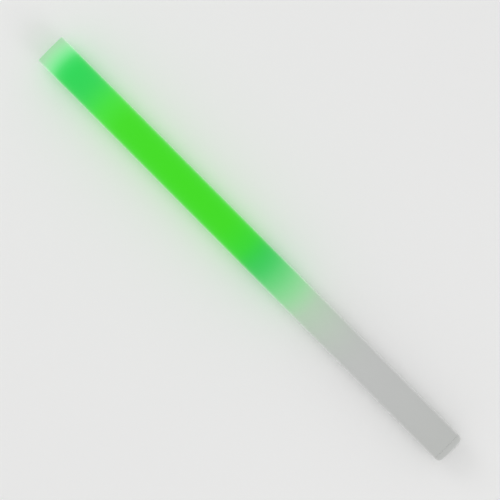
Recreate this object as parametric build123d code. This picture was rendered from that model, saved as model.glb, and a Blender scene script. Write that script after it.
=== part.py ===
"""Traffic baton light: a milky tube lit green over its upper half, with AA cells in the grip.

The tube holds a diffuser with a two-sided LED board at the head, a control board behind it and
three AA cells in line in the grip. The tail closes with a collar on a two-start thread. The
collar carries a switch housing that is keyed to the battery tube, so it slides out without
turning, and a push button in the middle of the end face works the switch.

X runs along the baton from the tail to the head, and every piece is drawn round the X axis with
the tail's end at x = 0. The export then moves it so that the origin lies under the middle of the
baton, on the surface that it rests on. Lengths are in millimetres.
"""

import math
import os

from build123d import *

# Overall size
OVERALL_LENGTH = 540.0
BARREL_DIAMETER = 32.0
BARREL_WALL = 2.0
BARREL_EDGE = 0.3  # rounding on the cut ends of the tube

# Clearances
BOND_GAP = 0.05  # glue line round a piece bonded into the tube
SLIDE_GAP = 0.2  # between pieces that slide or turn in each other
LOOSE_GAP = 0.35  # round a cell in its bore
SEAM_GAP = 0.1  # between the collar's shoulder and the tube
TOUCH_GAP = 0.05  # between pieces that press lightly on each other
RUB_GAP = 0.1  # between the leaf and the strip that it slides on

# Tail collar
CROWN_RADIUS = 63.0  # of the slightly domed end face
RIM_RADIUS = 4.8
COLLAR_FLANGE = 7.0  # from the crown of the end face to the shoulder
LIP_DEPTH = 4.5  # inner face of the lip that holds the button in
SPIGOT_END = 21.0
SPIGOT_WALL = 2.1
GASKET_THICKNESS = 0.9
GASKET_WIDTH = 1.9
RETAINER_THICKNESS = 1.0
RETAINER_BITE = 0.7  # depth of the retaining ring's seat in the collar
RETAINER_SPLIT = 3.0
SPANNER_HOLES = 3
SPANNER_HOLE_RADIUS = 1.1
SPANNER_HOLE_DEPTH = 1.0
EDGE_ROUNDING = 0.35  # on the edges of the end face that a thumb meets

# Thread between the collar and the bush
THREAD_STARTS = 2
THREAD_PITCH = 3.5
THREAD_DEPTH = 1.2
THREAD_BASE = 1.9  # tooth width at its root
THREAD_TIP = 1.1
THREAD_RADIAL_GAP = 0.3
THREAD_ROOT_SINK = 0.25  # how far a tooth reaches into the wall that carries it
BUSH_WALL = 0.75
BUSH_OVERHANG = 2.0  # past the end of the collar's spigot
BUSH_THREAD = (8.2, 18.7)
COLLAR_THREAD = (9.5, 20.5)

# Push button and its spring
BUTTON_FACE = 2.6  # thickness in the middle
BUTTON_WALL = 1.2
BUTTON_FLANGE_WIDTH = 0.9
BUTTON_FLANGE = 1.5
BUTTON_TRAVEL = 1.5
BUTTON_END_ROOM = 0.5  # left under the flange and the plunger when pressed
BUTTON_STEM_RADIUS = 2.0
BUTTON_SPRING_RADIUS = 4.6
BUTTON_SPRING_WIRE = 0.5
BUTTON_SPRING_TURNS = 5
DISH_RADIUS = 30.0  # of the shallow thumb dish in the button's face
DISH_DEPTH = 0.5

# Switch housing, which slides out with the collar
HOUSING_WALL = 0.8
HOUSING_FLOOR = 12.0
HOUSING_FLOOR_THICKNESS = 1.5
HOUSING_NECK_START = 18.7
HOUSING_NECK_STEP = 0.9
HOUSING_NOSE_START = 21.6
HOUSING_NOSE_END = 36.5
HOUSING_NOSE_WALL = 1.0
HOUSING_WELL_WALL = 2.6
KEY_WIDTH = 3.0
KEY_LENGTH = 4.5
SEAL_WIRE = 1.2
SEAL_X = 14.0

# Switch
SWITCH_CORNER_ROOM = 0.39  # from the switch's sharp corners to the housing's bore
SWITCH_LENGTH = 8.0
PLUNGER_DIAMETER = 3.2
PLUNGER_BORE_DEPTH = 5.4
SWITCH_BOARD_THICKNESS = 1.2
SWITCH_PIN_RADIUS = 0.4
SWITCH_PIN_TAIL = 1.4
SWITCH_PIN_SPACING = (5.0, 4.4)
SWITCH_CORNER = 0.4
NOSE_CAP_THICKNESS = 3.0
TAIL_CONTACT_THICKNESS = 0.5
TAIL_CONTACT_RADIUS = 6.2
LEAF_THICKNESS = 0.3
LEAF_WIDTH = 2.4
LEAF_LENGTH = 6.0

# Cells and the tube that holds them
CELL_COUNT = 3
CELL_DIAMETER = 14.5
CELL_LENGTH = 50.5
CELL_SLEEVE = 0.15
CELL_NUB_RADIUS = 2.75
CELL_NUB_HEIGHT = 1.4
CELL_BASE_RADIUS = 5.6
CELL_BASE_HEIGHT = 0.4
CELL_BEAD = 0.8
BATTERY_TUBE_GAP = 1.5  # from the collar's spigot to the battery tube
BATTERY_TUBE_WALL = 1.4
BATTERY_END_WALL = 2.5
BATTERY_FLANGE = 2.0
FRONT_CONTACT_THICKNESS = 0.4
FRONT_CONTACT_RADIUS = 5.0
RIVET_RADIUS = 1.2
RIVET_HEAD_RADIUS = 2.4
RIVET_HEAD = 0.7
TAIL_SPRING_LENGTH = 7.0
TAIL_SPRING_WIRE = 0.8
TAIL_SPRING_RADII = (5.2, 3.4)
TAIL_SPRING_TURNS = 4
STRIP_WIDTH = 4.5
STRIP_THICKNESS = 0.4
STRIP_OVERHANG = 5.0  # past the battery tube, where the return lead is soldered

# Liner that hides the cells
LINER_WALL = 0.8

# Light section
BULKHEAD_START = 250.0
BULKHEAD_THICKNESS = 9.0
BULKHEAD_BOSS = 4.0
DIFFUSER_WALL = 1.0
DIFFUSER_END_GAP = 4.5  # from the end of the diffuser to the head face
LED_BOARD_WIDTH = 16.0
BOARD_THICKNESS = 1.6
LED_BOARD_GRIP = 5.0  # length of board held in the bulkhead
LED_BOARD_END_GAP = 9.0  # from the end of the board to the head face
LED_COUNT = 8  # on each side of the board
LED_SIZE = 5.0
LED_HEIGHT = 1.5
LED_WINDOW_RADIUS = 1.9
LED_WINDOW_DEPTH = 0.6
LED_END_MARGIN = 18.0
LED_RESISTOR = (3.2, 1.6, 0.6)
RING_WIDTH = 3.0
RING_WALL = 0.9
RING_LUG = 5.0
RING_GRIP = 0.8  # how much of the board's edge a lug holds

# Head plug
PLUG_FACE = 3.0
PLUG_DEPTH = 17.0
PLUG_SKIRT = 1.3
PLUG_EDGE = 0.25
PLUG_BOSS_WALL = 1.3
PLUG_BOSS_DEPTH = 12.0

# Control section
TRAY_WALL = 1.5
TRAY_RIM = -3.0  # height of the tray's edges below the axis
TRAY_BOSS_RADIUS = 2.0
CONTROL_BOARD = (40.0, 20.0)
CONTROL_BOARD_GAP = 2.5  # from the end of the return strip
CHIP_PLACE = 14.0  # middle, from the tail end of the board
CHIP_SIZE = (4.9, 3.9, 1.5)
CHIP_LIFT = 0.15
CHIP_LEG_PITCH = 1.27
INDUCTOR_PLACE = 24.0
INDUCTOR_SIZE = (7.0, 7.0, 3.2)
INDUCTOR_CORNER = 1.4
CAPACITOR_PLACE = 32.0
CAPACITOR_SPREAD = 4.5
CAPACITOR_RADIUS = 2.5
CAPACITOR_HEIGHT = 5.4
SCREW_INSET = 2.6
SCREW_RADIUS = 0.9
SCREW_LENGTH = 5.0
SCREW_HEAD_RADIUS = 1.8
SCREW_HEAD = 1.2
SCREW_SLOT = 0.5
LEAD_RADIUS = 0.7
LEAD_HEIGHT = 4.0  # of the leads above the axis
LEAD_SPREAD = 2.0
LEAD_INSET = 4.0  # from the edge of a board to the solder joint
LEAD_BEND = 2.0

# Sizes that follow from those above
barrel_radius = BARREL_DIAMETER / 2
bore_radius = barrel_radius - BARREL_WALL
tube_start = COLLAR_FLANGE + SEAM_GAP
bonded_radius = bore_radius - BOND_GAP

thread_lead = THREAD_PITCH * THREAD_STARTS
bush_end = SPIGOT_END + BUSH_OVERHANG
bush_root = bonded_radius - BUSH_WALL
bush_crest = bush_root - THREAD_DEPTH
collar_crest = bush_root - THREAD_RADIAL_GAP
spigot_radius = collar_crest - THREAD_DEPTH
spigot_bore = spigot_radius - SPIGOT_WALL
gasket_start = COLLAR_FLANGE + SEAM_GAP - TOUCH_GAP - GASKET_THICKNESS
gasket_inner = collar_crest + SEAM_GAP
gasket_outer = gasket_inner + GASKET_WIDTH

housing_radius = spigot_bore - SLIDE_GAP
neck_radius = housing_radius - HOUSING_NECK_STEP
retainer_start = HOUSING_NECK_START + SLIDE_GAP
retainer_end = retainer_start + RETAINER_THICKNESS
flange_radius = housing_radius - HOUSING_WALL - SLIDE_GAP
flange_start = LIP_DEPTH + SLIDE_GAP
flange_end = flange_start + BUTTON_FLANGE
button_radius = flange_radius - BUTTON_FLANGE_WIDTH
cup_end = flange_end + BUTTON_TRAVEL + BUTTON_END_ROOM
floor_end = HOUSING_FLOOR + HOUSING_FLOOR_THICKNESS
stem_end = floor_end - BUTTON_TRAVEL - BUTTON_END_ROOM - SLIDE_GAP
stem_hole = BUTTON_STEM_RADIUS + SLIDE_GAP

switch_start = floor_end + TOUCH_GAP
plunger_end = switch_start + PLUNGER_BORE_DEPTH - BUTTON_TRAVEL - BUTTON_END_ROOM
switch_board_start = switch_start + SWITCH_LENGTH + TOUCH_GAP
switch_board_end = switch_board_start + SWITCH_BOARD_THICKNESS
tail_contact_end = HOUSING_NOSE_END + TAIL_CONTACT_THICKNESS

cell_bore = CELL_DIAMETER / 2 + LOOSE_GAP
first_cell = tail_contact_end + TAIL_SPRING_LENGTH
last_cell_end = first_cell + CELL_COUNT * CELL_LENGTH
battery_radius = cell_bore + BATTERY_TUBE_WALL
battery_start = SPIGOT_END + BATTERY_TUBE_GAP
battery_wall_start = last_cell_end + FRONT_CONTACT_THICKNESS + TOUCH_GAP
battery_end = battery_wall_start + BATTERY_END_WALL
strip_top = battery_radius - STRIP_THICKNESS
strip_end = battery_end + STRIP_OVERHANG
nose_radius = cell_bore - SLIDE_GAP
nose_bore = nose_radius - HOUSING_NOSE_WALL
key_radius = battery_radius - SLIDE_GAP
switch_half = (nose_bore - SWITCH_CORNER_ROOM) / math.sqrt(2)

liner_inner = bonded_radius - LINER_WALL
centring_radius = liner_inner - SLIDE_GAP
tray_start = battery_end + SEAM_GAP
tray_end = BULKHEAD_START - SEAM_GAP
tray_inner = centring_radius - TRAY_WALL
board_top = BOARD_THICKNESS / 2
control_start = strip_end + CONTROL_BOARD_GAP

bulkhead_end = BULKHEAD_START + BULKHEAD_THICKNESS
boss_end = bulkhead_end + BULKHEAD_BOSS
plug_inner = OVERALL_LENGTH - PLUG_FACE
skirt_bore = bonded_radius - PLUG_SKIRT
diffuser_outer = skirt_bore - SLIDE_GAP
diffuser_inner = diffuser_outer - DIFFUSER_WALL
diffuser_end = OVERALL_LENGTH - DIFFUSER_END_GAP
led_board_start = bulkhead_end - LED_BOARD_GRIP
led_board_end = OVERALL_LENGTH - LED_BOARD_END_GAP
led_first = boss_end + LED_END_MARGIN
led_pitch = (led_board_end - LED_END_MARGIN - led_first) / (LED_COUNT - 1)


def rod(start, end, radius):
    """A round bar on the X axis."""
    bar = Cylinder(radius, end - start, align=(Align.CENTER, Align.CENTER, Align.MIN))
    return Pos(start, 0, 0) * Rot(0, 90, 0) * bar


def ring(start, end, outer, inner):
    """A tube on the X axis."""
    return rod(start, end, outer) - rod(start - 1, end + 1, inner)


def block(x, y, z):
    """A box between two limits on each axis."""
    limits = (x, y, z)
    size = [high - low for low, high in limits]
    middle = [(high + low) / 2 for low, high in limits]
    return Pos(*middle) * Box(*size)


def post(x, y, low, high, radius):
    """An upright round bar."""
    return Pos(x, y, (low + high) / 2) * Cylinder(radius, high - low)


def crown(radius):
    """How far the domed end face lies behind its middle, at a radius."""
    return CROWN_RADIUS - math.sqrt(CROWN_RADIUS**2 - radius**2)


def dome(radius, end):
    """A bar on the X axis whose tail end follows the crown of the end face."""
    ball = Pos(CROWN_RADIUS, 0, 0) * Sphere(CROWN_RADIUS)
    return rod(-1, end, radius) & ball


def end_face_edges(piece, radius):
    """The circular edge of a radius that lies in the tail's end face."""
    circles = piece.edges().filter_by(GeomType.CIRCLE)
    same = [edge for edge in circles if abs(edge.radius - radius) < TOUCH_GAP]
    return [edge for edge in same if edge.center().X < LIP_DEPTH - SEAM_GAP]


def coil(start, end, radius_start, radius_end, wire, turns):
    """A round-wire spring on the X axis that fills the length from start to end."""
    length = end - start - wire
    taper = math.degrees(math.atan2(radius_end - radius_start, length))
    path = Helix(length / turns, length, radius_start, cone_angle=taper)
    section = Plane(origin=path @ 0, z_dir=path % 0) * Circle(wire / 2)
    spring = sweep(section, path=path, is_frenet=True)
    return Pos(start + wire / 2, 0, 0) * Rot(0, 90, 0) * spring


def thread(span, root, tip, shift):
    """The teeth of a thread on the X axis, which point from root to tip.

    Threads with the same shift lie on the same helix, wherever they start.
    """
    start, end = span
    foot = root - math.copysign(THREAD_ROOT_SINK, tip - root)
    half_base = THREAD_BASE / 2
    half_tip = THREAD_TIP / 2
    half_foot = half_base + THREAD_ROOT_SINK * (half_base - half_tip) / THREAD_DEPTH
    profile = [(foot, 0, -half_foot), (tip, 0, -half_tip), (tip, 0, half_tip), (foot, 0, half_foot)]
    path = Helix(thread_lead, end - start - THREAD_BASE, root)
    tooth = sweep(make_face(Polyline(*profile, close=True)), path=path, is_frenet=True)
    teeth = []
    for number in range(THREAD_STARTS):
        turn = 360 * (start / thread_lead + number / THREAD_STARTS) + shift
        teeth.append(Pos(start + half_base, 0, 0) * Rot(turn, 0, 0) * Rot(0, 90, 0) * tooth)
    return teeth


def both_faces(piece, positions):
    """Copies of a piece along the LED board, on its top and its underside."""
    copies = []
    for x in positions:
        copy = Pos(x, 0, 0) * piece
        copies += [copy, mirror(copy, about=Plane.XY)]
    return copies


def lens_tube():
    """Milky outer tube, cut square at both ends."""
    tube = ring(tube_start, OVERALL_LENGTH, barrel_radius, bore_radius)
    circles = tube.edges().filter_by(GeomType.CIRCLE)
    rims = [edge for edge in circles if edge.radius > bore_radius + BOND_GAP]
    return fillet(rims, BARREL_EDGE)


def head_plug():
    """Plug bonded flush into the head, with a socket for the end of the LED board."""
    face = rod(plug_inner, OVERALL_LENGTH, bonded_radius)
    skirt = ring(OVERALL_LENGTH - PLUG_DEPTH, plug_inner, bonded_radius, skirt_bore)
    half_slot = LED_BOARD_WIDTH / 2 + SLIDE_GAP
    gap = board_top + TOUCH_GAP
    boss = rod(OVERALL_LENGTH - PLUG_BOSS_DEPTH, plug_inner, half_slot + PLUG_BOSS_WALL)
    slot = block((0, led_board_end + SLIDE_GAP), (-half_slot, half_slot), (-gap, gap))
    rim = face.edges().filter_by(GeomType.CIRCLE).sort_by(Axis.X)[-1]
    return fillet(rim, PLUG_EDGE) + skirt + boss - slot


def head_cushion():
    """Foam washer between the diffuser's end and the head plug."""
    return ring(diffuser_end, plug_inner, skirt_bore - TOUCH_GAP, diffuser_inner)


def diffuser_tube():
    """Frosted green tube that spreads the light of the LEDs."""
    return ring(bulkhead_end, diffuser_end, diffuser_outer, diffuser_inner)


def led_positions():
    """Middles of the LEDs along the board."""
    return [led_first + number * led_pitch for number in range(LED_COUNT)]


def led_board():
    """Long circuit board with LEDs on both faces."""
    half = LED_BOARD_WIDTH / 2
    return block((led_board_start, led_board_end), (-half, half), (-board_top, board_top))


def led_packages():
    """LED packages, each with a round well for its window."""
    half = LED_SIZE / 2
    top = board_top + LED_HEIGHT
    package = block((-half, half), (-half, half), (board_top, top))
    package -= post(0, 0, top - LED_WINDOW_DEPTH, top + 1, LED_WINDOW_RADIUS)
    return both_faces(package, led_positions())


def led_windows():
    """Clear windows that fill the wells of the packages."""
    top = board_top + LED_HEIGHT
    window = post(0, 0, top - LED_WINDOW_DEPTH, top, LED_WINDOW_RADIUS)
    return both_faces(window, led_positions())


def led_resistors():
    """One chip resistor beside each LED."""
    length, width, height = LED_RESISTOR
    x = (LED_SIZE, LED_SIZE + length)
    chip = block(x, (-width / 2, width / 2), (board_top, board_top + height))
    return both_faces(chip, led_positions())


def board_rings():
    """Clear rings that keep the LED board in the middle of the diffuser."""
    outer = diffuser_inner - TOUCH_GAP
    inner = outer - RING_WALL
    hold = LED_BOARD_WIDTH / 2 - RING_GRIP
    half_slot = LED_BOARD_WIDTH / 2 + TOUCH_GAP
    gap = board_top + TOUCH_GAP
    rings = []
    for place in (LED_COUNT // 3, LED_COUNT - LED_COUNT // 3):
        middle = led_first + (place - 0.5) * led_pitch + LED_SIZE / 2
        start = middle - RING_WIDTH / 2
        end = middle + RING_WIDTH / 2
        span = (start - 1, end + 1)
        lugs = rod(start, end, (outer + inner) / 2)
        lugs &= block(span, (-outer, outer), (-RING_LUG / 2, RING_LUG / 2))
        lugs -= block(span, (-hold, hold), (-RING_LUG, RING_LUG))
        slot = block(span, (-half_slot, half_slot), (-gap, gap))
        rings.append(ring(start, end, outer, inner) + lugs - slot)
    return rings


def light_bulkhead():
    """Opaque disc bonded into the tube, which carries the diffuser and the LED board."""
    half_slot = LED_BOARD_WIDTH / 2 + TOUCH_GAP
    gap = board_top + TOUCH_GAP
    slot = block((led_board_start, boss_end + 1), (-half_slot, half_slot), (-gap, gap))
    disc = rod(BULKHEAD_START, bulkhead_end, bonded_radius)
    boss = rod(bulkhead_end, boss_end, diffuser_inner - TOUCH_GAP)
    hole = rod(BULKHEAD_START - 1, boss_end + 1, LEAD_RADIUS + SLIDE_GAP)
    body = disc + boss - slot
    for side in (-1, 1):
        body -= Pos(0, side * LEAD_SPREAD, LEAD_HEIGHT) * hole
    return body


def screw_points():
    """Screw positions at the corners of the control board."""
    length, width = CONTROL_BOARD
    ends = (control_start + SCREW_INSET, control_start + length - SCREW_INSET)
    sides = (SCREW_INSET - width / 2, width / 2 - SCREW_INSET)
    return [(x, y) for x in ends for y in sides]


def control_tray():
    """Half-round tray with four screw bosses under the control board."""
    low = -barrel_radius
    span = (-barrel_radius, barrel_radius)
    shell = ring(tray_start, tray_end, centring_radius, tray_inner)
    shell &= block((tray_start, tray_end), span, (low, TRAY_RIM))
    inside = rod(tray_start, tray_end, (centring_radius + tray_inner) / 2)
    for x, y in screw_points():
        shell += post(x, y, low, -board_top, TRAY_BOSS_RADIUS) & inside
    for x, y in screw_points():
        shell -= post(x, y, -board_top - SCREW_LENGTH, 0, SCREW_RADIUS + TOUCH_GAP)
    return shell


def tray_screws():
    """Pan-head cross-recess screws that hold the control board down."""
    screws = []
    head_top = board_top + SCREW_HEAD
    blade = 4 * SCREW_HEAD_RADIUS / 3
    for x, y in screw_points():
        shank = post(x, y, board_top - SCREW_LENGTH, board_top, SCREW_RADIUS)
        head = post(x, y, board_top, head_top, SCREW_HEAD_RADIUS)
        cross = Box(blade, SCREW_SLOT, SCREW_HEAD) + Box(SCREW_SLOT, blade, SCREW_HEAD)
        screws.append(shank + head - Pos(x, y, head_top) * cross)
    return screws


def control_board():
    """Control circuit board, screwed to the tray."""
    length, width = CONTROL_BOARD
    span = (control_start, control_start + length)
    board = block(span, (-width / 2, width / 2), (-board_top, board_top))
    for x, y in screw_points():
        board -= post(x, y, -BOARD_THICKNESS, BOARD_THICKNESS, SCREW_RADIUS + SLIDE_GAP)
    return board


def on_control_board(x, y, size, lift=0):
    """A block on the control board, its middle x from the board's tail end."""
    length, width, height = size
    middle = control_start + x
    low = board_top + lift
    return block(
        (middle - length / 2, middle + length / 2),
        (y - width / 2, y + width / 2),
        (low, low + height),
    )


def control_chip():
    """Mode controller, which stands on its legs just off the board."""
    return on_control_board(CHIP_PLACE, 0, CHIP_SIZE, CHIP_LIFT)


def chip_legs():
    """The controller's gull-wing legs, four on each side."""
    side_of_chip = CHIP_SIZE[1] / 2
    legs = []
    for number in range(4):
        x = CHIP_PLACE + (number - 1.5) * CHIP_LEG_PITCH
        for side in (-1, 1):
            knee = on_control_board(x, side * (side_of_chip + 0.15), (0.42, 0.3, 0.8))
            foot = on_control_board(x, side * (side_of_chip + 0.6), (0.42, 0.9, 0.2))
            legs.append(knee + foot)
    return legs


def inductor():
    """Shielded drum inductor of the LED supply."""
    case = on_control_board(INDUCTOR_PLACE, 0, INDUCTOR_SIZE)
    return chamfer(case.edges().filter_by(Axis.Z), INDUCTOR_CORNER)


def capacitors():
    """Two round electrolytic capacitors."""
    x = control_start + CAPACITOR_PLACE
    top = board_top + CAPACITOR_HEIGHT
    return [post(x, side * CAPACITOR_SPREAD, board_top, top, CAPACITOR_RADIUS) for side in (-1, 1)]


def control_resistors():
    """Chip resistors along both edges of the control board."""
    chips = []
    for number in range(4):
        for side in (-1, 1):
            x = CHIP_PLACE + (number - 1.5) * 3.0
            chips.append(on_control_board(x, side * 6.2, (2.0, 1.25, 0.5)))
    return chips


def battery_tube():
    """Tube for the three cells, with flanges that centre it in the liner."""
    tube = ring(battery_start, battery_wall_start, battery_radius, cell_bore)
    tube += rod(battery_wall_start, battery_end, centring_radius)
    for number in range(CELL_COUNT):
        middle = first_cell + number * CELL_LENGTH
        flange_from = middle - BATTERY_FLANGE / 2
        tube += ring(flange_from, flange_from + BATTERY_FLANGE, centring_radius, cell_bore)
    tube -= rod(battery_wall_start - 1, battery_end + 1, RIVET_RADIUS + TOUCH_GAP)
    keyway_end = HOUSING_NOSE_END + SLIDE_GAP
    half_key = KEY_WIDTH / 2 + SLIDE_GAP
    half_leaf = LEAF_WIDTH / 2 + SLIDE_GAP
    reach = battery_radius + 1
    tube -= block((0, keyway_end), (-reach, reach), (-half_key, half_key))
    tube -= block((0, keyway_end), (-half_leaf, half_leaf), (-reach, 0))
    half_strip = STRIP_WIDTH / 2 + TOUCH_GAP
    groove = (-battery_radius - TOUCH_GAP, -strip_top)
    tube -= block((0, OVERALL_LENGTH), (-half_strip, half_strip), groove)
    return tube


def return_strip():
    """Strip that carries the switched side from the tail to the control board."""
    half = STRIP_WIDTH / 2
    return block((battery_start, strip_end), (-half, half), (-battery_radius, -strip_top))


def front_contact():
    """Contact plate at the head end of the cells, riveted through the end wall."""
    plate_end = last_cell_end + FRONT_CONTACT_THICKNESS
    plate = rod(last_cell_end, plate_end, FRONT_CONTACT_RADIUS)
    shank = rod(last_cell_end, battery_end, RIVET_RADIUS)
    head = rod(battery_end, battery_end + RIVET_HEAD, RIVET_HEAD_RADIUS)
    return plate + shank + head


def cell(number):
    """One AA cell with its nub towards the head, without its sleeve."""
    can = CELL_DIAMETER / 2 - CELL_SLEEVE
    can_end = CELL_LENGTH - CELL_NUB_HEIGHT
    step = CELL_BASE_HEIGHT
    points = [
        (0, 0),
        (0, CELL_BASE_RADIUS),
        (step, CELL_BASE_RADIUS + step),
        (step, can - step),
        (2 * step, can),
        (can_end - CELL_BEAD, can),
        (can_end, can - CELL_BEAD),
        (can_end, CELL_NUB_RADIUS),
        (CELL_LENGTH - TOUCH_GAP, CELL_NUB_RADIUS),
        (CELL_LENGTH - TOUCH_GAP, 0),
    ]
    outline = make_face(Polyline(*points, close=True))
    return Pos(first_cell + number * CELL_LENGTH, 0, 0) * revolve(outline, Axis.X)


def cell_sleeves():
    """Printed plastic sleeves shrunk round the cells."""
    outer = CELL_DIAMETER / 2
    end = CELL_LENGTH - CELL_NUB_HEIGHT - CELL_BEAD
    sleeve = ring(2 * CELL_BASE_HEIGHT, end, outer, outer - CELL_SLEEVE)
    starts = [first_cell + number * CELL_LENGTH for number in range(CELL_COUNT)]
    return [Pos(start, 0, 0) * sleeve for start in starts]


def grip_liner():
    """White sleeve inside the grip, which hides the cells behind the milky wall."""
    return ring(bush_end + SEAM_GAP, BULKHEAD_START - SEAM_GAP, bonded_radius, liner_inner)


def tail_bush():
    """Threaded bush bonded into the tube's mouth."""
    bush = ring(tube_start, bush_end, bonded_radius, bush_root)
    for tooth in thread(BUSH_THREAD, bush_root, bush_crest, 180 / THREAD_STARTS):
        bush += tooth
    return bush


def lead(*points):
    """An insulated wire along a route with rounded bends."""
    path = FilletPolyline(*points, radius=LEAD_BEND)
    section = Plane(origin=path @ 0, z_dir=path % 0) * Circle(LEAD_RADIUS)
    return sweep(section, path=path)


def battery_lead():
    """Lead from the front contact's rivet to the control board."""
    start = battery_end + RIVET_HEAD + LEAD_RADIUS
    landing = control_start + LEAD_INSET
    top = LEAD_HEIGHT
    return lead((start, 0, 0), (start, 0, top), (landing, 0, top), (landing, 0, board_top))


def return_lead():
    """Lead from the return strip to the control board's underside."""
    start = battery_end + STRIP_OVERHANG / 2
    landing = control_start + LEAD_INSET
    low = -LEAD_HEIGHT
    return lead((start, 0, -strip_top), (start, 0, low), (landing, 0, low), (landing, 0, -board_top))


def led_lead(side):
    """Lead from the control board through the bulkhead to the LED board."""
    start = control_start + CONTROL_BOARD[0] - LEAD_INSET / 2
    landing = boss_end + LEAD_INSET
    y = side * LEAD_SPREAD
    top = LEAD_HEIGHT
    return lead((start, y, board_top), (start, y, top), (landing, y, top), (landing, y, board_top))


def tail_collar():
    """Threaded collar with the rounded rim, which closes the tail."""
    collar = dome(barrel_radius, COLLAR_FLANGE)
    collar = fillet(end_face_edges(collar, barrel_radius), RIM_RADIUS)
    collar += rod(COLLAR_FLANGE - 1, SPIGOT_END, spigot_radius)
    collar -= rod(LIP_DEPTH, SPIGOT_END + 1, spigot_bore)
    collar -= rod(-1, LIP_DEPTH + 1, button_radius + SLIDE_GAP)
    collar = fillet(end_face_edges(collar, button_radius + SLIDE_GAP), EDGE_ROUNDING)
    collar -= ring(gasket_start, COLLAR_FLANGE + 1, gasket_outer, gasket_inner)
    collar -= rod(retainer_start - TOUCH_GAP, retainer_end + TOUCH_GAP, spigot_bore + RETAINER_BITE)
    hole_circle = (button_radius + barrel_radius - RIM_RADIUS) / 2
    hole = rod(-1, crown(hole_circle) + SPANNER_HOLE_DEPTH, SPANNER_HOLE_RADIUS)
    for number in range(SPANNER_HOLES):
        collar -= Rot(360 * number / SPANNER_HOLES, 0, 0) * Pos(0, hole_circle, 0) * hole
    for tooth in thread(COLLAR_THREAD, spigot_radius, collar_crest, 0):
        collar += tooth
    return collar


def collar_gasket():
    """Flat rubber gasket in the collar's shoulder."""
    end = gasket_start + GASKET_THICKNESS
    return ring(gasket_start, end, gasket_outer - TOUCH_GAP, gasket_inner + TOUCH_GAP)


def retaining_ring():
    """Split ring that keeps the switch housing in the collar."""
    outer = spigot_bore + RETAINER_BITE - TOUCH_GAP
    hoop = ring(retainer_start, retainer_end, outer, neck_radius + SLIDE_GAP)
    half = RETAINER_SPLIT / 2
    return hoop - block((0, SPIGOT_END), (0, barrel_radius), (-half, half))


def button_cap():
    """Push button with a shallow thumb dish, held in by its flange."""
    cap = dome(button_radius, flange_end)
    cap = fillet(end_face_edges(cap, button_radius), EDGE_ROUNDING)
    cap += rod(flange_start, flange_end, flange_radius)
    cap -= rod(BUTTON_FACE, flange_end + 1, button_radius - BUTTON_WALL)
    cap += rod(BUTTON_FACE - TOUCH_GAP, stem_end, BUTTON_STEM_RADIUS)
    return cap - Pos(DISH_DEPTH - DISH_RADIUS, 0, 0) * Sphere(DISH_RADIUS)


def button_spring():
    """Return spring between the button and the floor of the housing."""
    start = BUTTON_FACE + TOUCH_GAP
    end = HOUSING_FLOOR - TOUCH_GAP
    radius = BUTTON_SPRING_RADIUS
    return coil(start, end, radius, radius, BUTTON_SPRING_WIRE, BUTTON_SPRING_TURNS)


def switch_housing():
    """Housing that carries the switch and slides, keyed, out of the battery tube."""
    body = rod(flange_start, HOUSING_NECK_START, housing_radius)
    body += rod(HOUSING_NECK_START, HOUSING_NOSE_START, neck_radius)
    body += rod(HOUSING_NOSE_START, HOUSING_NOSE_END, nose_radius)
    half_key = KEY_WIDTH / 2
    key_span = (HOUSING_NOSE_END - KEY_LENGTH, HOUSING_NOSE_END)
    keys = block(key_span, (-barrel_radius, barrel_radius), (-half_key, half_key))
    body += keys & rod(*key_span, key_radius)
    body -= rod(flange_start - 1, cup_end, flange_radius + SLIDE_GAP)
    body -= rod(flange_start, HOUSING_FLOOR, housing_radius - HOUSING_WELL_WALL)
    body -= rod(flange_start, HOUSING_NOSE_END, stem_hole)
    body -= rod(floor_end, HOUSING_NOSE_END + 1, nose_bore)
    half_seal = SEAL_WIRE / 2 + TOUCH_GAP
    seal_seat = spigot_bore - SEAL_WIRE - 2 * TOUCH_GAP
    body -= ring(SEAL_X - half_seal, SEAL_X + half_seal, housing_radius + 1, seal_seat)
    half_leaf = LEAF_WIDTH / 2 + TOUCH_GAP
    leaf_span = (switch_board_end, switch_board_end + 2 * LEAF_THICKNESS)
    body -= block(leaf_span, (-half_leaf, half_leaf), (-barrel_radius, 0))
    return body


def housing_seal():
    """O-ring between the switch housing and the collar."""
    radius = SEAL_WIRE / 2
    return Pos(SEAL_X, 0, 0) * Rot(0, 90, 0) * Torus(spigot_bore - TOUCH_GAP - radius, radius)


def switch_body():
    """Latching push switch, open at the tail for its plunger."""
    across = (-switch_half, switch_half)
    body = block((switch_start, switch_start + SWITCH_LENGTH), across, across)
    body = chamfer(body.edges().filter_by(Axis.X), SWITCH_CORNER)
    bore_end = switch_start + PLUNGER_BORE_DEPTH
    return body - rod(switch_start - 1, bore_end, PLUNGER_DIAMETER / 2 + SLIDE_GAP)


def switch_plunger():
    """The switch's plunger, which the button's stem pushes."""
    bar = rod(stem_end + TOUCH_GAP, plunger_end, PLUNGER_DIAMETER / 2)
    return chamfer(bar.edges().sort_by(Axis.X)[0], SWITCH_CORNER)


def pin_points():
    """Where the switch's pins pass through its board."""
    across, up = SWITCH_PIN_SPACING
    return [(y * across / 2, z * up / 2) for y in (-1, 1) for z in (-1, 1)]


def switch_board():
    """Round circuit board behind the switch."""
    board = rod(switch_board_start, switch_board_end, nose_bore - TOUCH_GAP)
    hole = rod(switch_board_start - 1, switch_board_end + 1, SWITCH_PIN_RADIUS + TOUCH_GAP)
    for y, z in pin_points():
        board -= Pos(0, y, z) * hole
    return board


def switch_pins():
    """Pins of the switch, soldered through its board."""
    start = switch_start + SWITCH_LENGTH
    pin = rod(start, switch_board_end + SWITCH_PIN_TAIL, SWITCH_PIN_RADIUS)
    return [Pos(0, y, z) * pin for y, z in pin_points()]


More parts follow.
